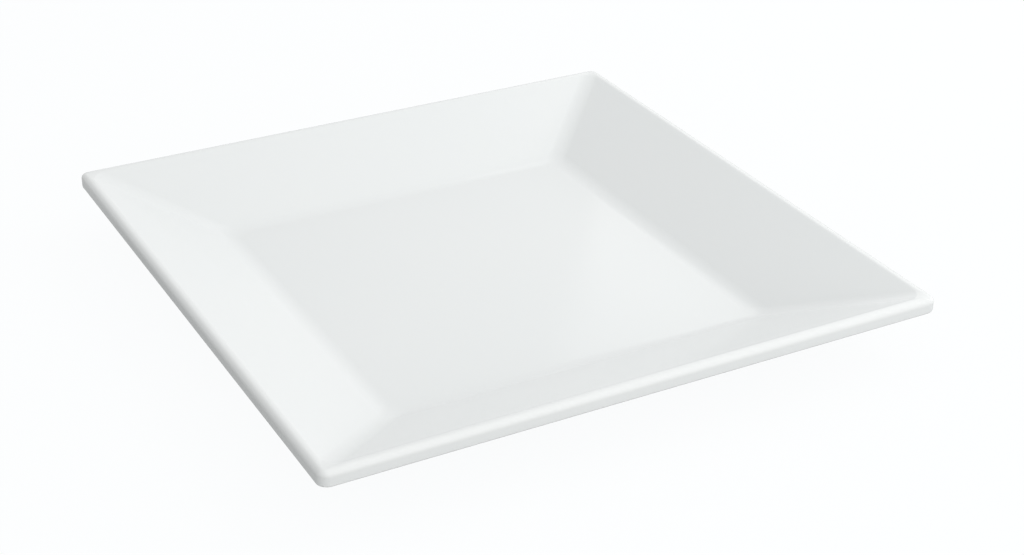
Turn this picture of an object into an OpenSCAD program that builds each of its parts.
// Square dinner plate: one pressed porcelain body and the glaze that covers it.
// Millimetres, +Z up. The origin is on the table, under the middle of the plate.
//
// The plate is a loft. One section line runs from the middle of the base, round the
// foot, along the underside, round the lip, down the rim and into the well. Every
// point of that line is a rounded square ring, so the four rim panels meet in mitres.
// The line is the glazed face. The clay face lies one glaze thickness inside it.

/* [Plate] */
// Length of each side over the lip
plate_side = 260; // [220:1:300]
// Height from the table to the top of the lip
plate_height = 27; // [26:0.5:32]

/* [Lip] */
// Height of the lip's edge, from its crisp lower corner to its top
lip_thickness = 6; // [5:0.1:7]
// Radius that rounds the outer face over to the top of the lip
lip_round = 2.4; // [1.6:0.1:2.8]
// Width of the level land along the top of the lip
lip_land = 0.2; // [0.2:0.1:2]
// Radius of the soft crown that lets the lip down into the rim panel
lip_crown = 4; // [3:0.5:12]
// Radius of the crisp corner under the lip
lip_under_round = 1; // [0.6:0.1:1.4]
// Plan radius of the plate's four outer corners
lip_corner = 4; // [3.5:0.5:12]

/* [Rim and well] */
// Length of each side of the well, where its floor would meet the rim panels
well_side = 164; // [120:1:170]
// Depth of the well floor below the top of the lip
well_depth = 19; // [14:0.2:19]
// Radius that blends the rim panels into the well floor
verge_radius = 20; // [6:1:26]
// Plan radius of the soft mitre where two rim panels meet
mitre_corner = 6; // [4:0.5:12]
// Plan radius of the well's four corners
well_corner = 7; // [5:0.5:14]

/* [Base and foot] */
// Thickness of the base between the well floor and the recess inside the foot
base_thickness = 5; // [4.5:0.1:6]
// Distance from the well's edge in to the foot's outer face, where it stands
foot_inset = 6; // [4:0.5:20]
// Width of the bare ring that stands on the table, with its rounded edges
foot_width = 4.5; // [3.6:0.1:6]
// Radius that rounds both edges of the bare ring
foot_round = 1; // [0.8:0.1:1.2]
// Radius of the coves where the foot grows out of the base
foot_cove = 1.6; // [1:0.1:1.8]
// Plan radius of the foot's four outer corners
foot_corner = 12; // [10:1:20]
// Lean of the foot's two faces away from upright, in degrees
foot_draft = 12; // [5:1:20]

/* [Glaze] */
// Thickness of the glaze
glaze_thickness = 0.3; // [0.2:0.05:0.4]
// Share of that thickness left at the wiped edge beside the bare ring
wiped_edge_share = 0.4; // [0.3:0.1:0.9]

/* [Smoothness] */
// Largest turn of the section line between two points, in degrees
step_angle = 12; // [10:1:20]
// Fewest steps in a rounding of the section line
least_steps = 4; // [3:1:6]
// Steps round each corner of a ring
corner_steps = 9; // [6:1:10]

/* [Hidden] */

plate_half = plate_side / 2;
well_half = well_side / 2;
foot_half = well_half - foot_inset;
floor_height = plate_height - well_depth;
recess_height = floor_height - base_thickness;
lip_under_height = plate_height - lip_thickness;

// The rim panel's slope: from the well's edge, just touching the lip's crown. The
// panel would reach the height of the lip's top at the crown's half side.
to_crown = [plate_half - lip_round - lip_land - well_half, well_depth - lip_crown];
rim_slope = atan2(to_crown[1], to_crown[0]) + asin(lip_crown / norm(to_crown));
crown_half = well_half + well_depth / tan(rim_slope);

// The lip's rounding keeps its shape round the corners, so the plan corner shrinks with it
crest_corner = lip_corner - lip_round;

// The foot's two faces lean apart upwards from its bare ring
foot_lean = recess_height * tan(foot_draft);
foot_inner_half = foot_half - foot_width;
foot_inner_corner = foot_corner - foot_width;

// Under the verge the wall bends with the well's edge, one base thickness below it.
// The bend is tighter where the foot's cove leaves it less room.
under_half = well_half + base_thickness * tan(rim_slope / 2);
under_slope = atan2(lip_under_height - recess_height, plate_half - under_half);
cove_end = foot_half + foot_lean + foot_cove * tan(45 - foot_draft / 2);
under_radius = min(verge_radius + base_thickness, (under_half - cove_end) / tan(under_slope / 2));

// Corners of the section line: half side, height, rounding radius, and the plan
// corner radius where the rounding begins and where it ends. The bare ring's two
// edges lie one glaze thickness low, because the clay itself stands on the table.
INSIDE_FOOT = [
    [0, recess_height, 0, foot_inner_corner, foot_inner_corner],
    [foot_inner_half - foot_lean, recess_height, foot_cove, foot_inner_corner, foot_inner_corner],
    [foot_inner_half - glaze_thickness, -glaze_thickness, foot_round, foot_inner_corner, foot_inner_corner],
];
OUTSIDE_FOOT = [
    [foot_half + glaze_thickness, -glaze_thickness, foot_round, foot_corner, foot_corner],
    [foot_half + foot_lean, recess_height, foot_cove, foot_corner, foot_corner],
    [under_half, recess_height, under_radius, foot_corner, well_corner],
    [plate_half, lip_under_height, lip_under_round, lip_corner, lip_corner],
    [plate_half, plate_height, lip_round, lip_corner, crest_corner],
    [crown_half, plate_height, lip_crown, crest_corner, mitre_corner],
    [well_half, floor_height, verge_radius, mitre_corner, well_corner],
    [0, floor_height, 0, well_corner, well_corner],
];
SECTION = concat(INSIDE_FOOT, OUTSIDE_FOOT);
inner_edge = len(INSIDE_FOOT) - 1;
outer_edge = len(INSIDE_FOOT);
last_bend = len(SECTION) - 2;

function way_to(i) = [for (k = [0, 1]) SECTION[i][k] - SECTION[i - 1][k]];
function bend_at(i) =
    let (arriving = way_to(i), leaving = way_to(i + 1))
    atan2(cross(arriving, leaving), arriving * leaving);
function mix(a, b, share) = a + (b - a) * share;

// Points of the rounding at one corner of the section line. Each is a half side, a
// height, a plan radius and the outward direction of the face there.
function rounding(i) =
    let (
        corner = SECTION[i],
        arriving = way_to(i),
        heading = atan2(arriving[1], arriving[0]),
        bend = bend_at(i),
        radius = corner[2],
        back = radius * tan(abs(bend) / 2),
        side = sign(bend),
        start = [corner[0] - back * cos(heading), corner[1] - back * sin(heading)],
        centre = start + side * radius * [-sin(heading), cos(heading)],
        steps = max(least_steps, ceil(abs(bend) / step_angle))
    )
    [for (k = [0:steps])
        let (
            share = k / steps,
            at = heading + bend * share,
            out = [sin(at), -cos(at)],
            place = centre + side * radius * out
        )
        [place[0], place[1], mix(corner[3], corner[4], share), out]];

function points_of(first, last) = [for (i = [first:last]) each rounding(i)];

// One ring: the section point moved in by a depth, square to the face
function ring(point, depth) =
    let (
        half = point[0] - depth * point[3][0],
        height = point[1] - depth * point[3][1],
        radius = point[2] - depth * point[3][0]
    )
    [for (quarter = [0:3], k = [0:corner_steps])
        let (
            at = 90 * (quarter + k / corner_steps),
            turned = 90 * quarter + 45,
            hub = (half - radius) * sqrt(2)
        )
        [hub * cos(turned) + radius * cos(at), hub * sin(turned) + radius * sin(at), height]];

// Closed solid through a list of rings, with flat ends
module loft(rings) {
    count = len(rings[0]);
    last = len(rings) - 1;
    polyhedron(
        points = [for (r = rings) each r],
        faces = [
            [for (k = [count - 1:-1:0]) last * count + k],
            [for (k = [0:count - 1]) k],
            for (i = [0:last - 1], k = [0:count - 1])
                let (a = i * count + k, b = i * count + (k + 1) % count)
                each [[a, a + count, b + count], [a, b + count, b]],
        ]
    );
}

function reversed(list) = [for (i = [len(list) - 1:-1:0]) list[i]];

// Glaze along a stretch of the section line, from its wiped edge to a flat end:
// back along the clay face, over the edge and out again along the glazed face
module coat(points) {
    clay = [for (p = points) ring(p, glaze_thickness)];
    wiped = ring(points[0], glaze_thickness * (1 - wiped_edge_share));
    glazed = [for (i = [1:len(points) - 1]) ring(points[i], 0)];
    loft(concat(reversed(clay), [wiped], glazed));
}

// The pressed and fired body, with its foot, as one piece
module porcelain_body() {
    color([0.93, 0.93, 0.91])
        loft([for (p = points_of(1, last_bend)) ring(p, glaze_thickness)]);
}

// Glaze from the foot's outer face, round the lip and across the well
module outer_glaze() {
    edge = rounding(outer_edge);
    color([0.96, 0.97, 0.97])
        coat(concat([edge[len(edge) - 1]], points_of(outer_edge + 1, last_bend)));
}

// Glaze inside the foot, on its inner face and the recess
module base_glaze() {
    edge = rounding(inner_edge);
    color([0.96, 0.97, 0.97])
        coat(concat([edge[0]], reversed(points_of(1, inner_edge - 1))));
}

porcelain_body();
outer_glaze();
base_glaze();
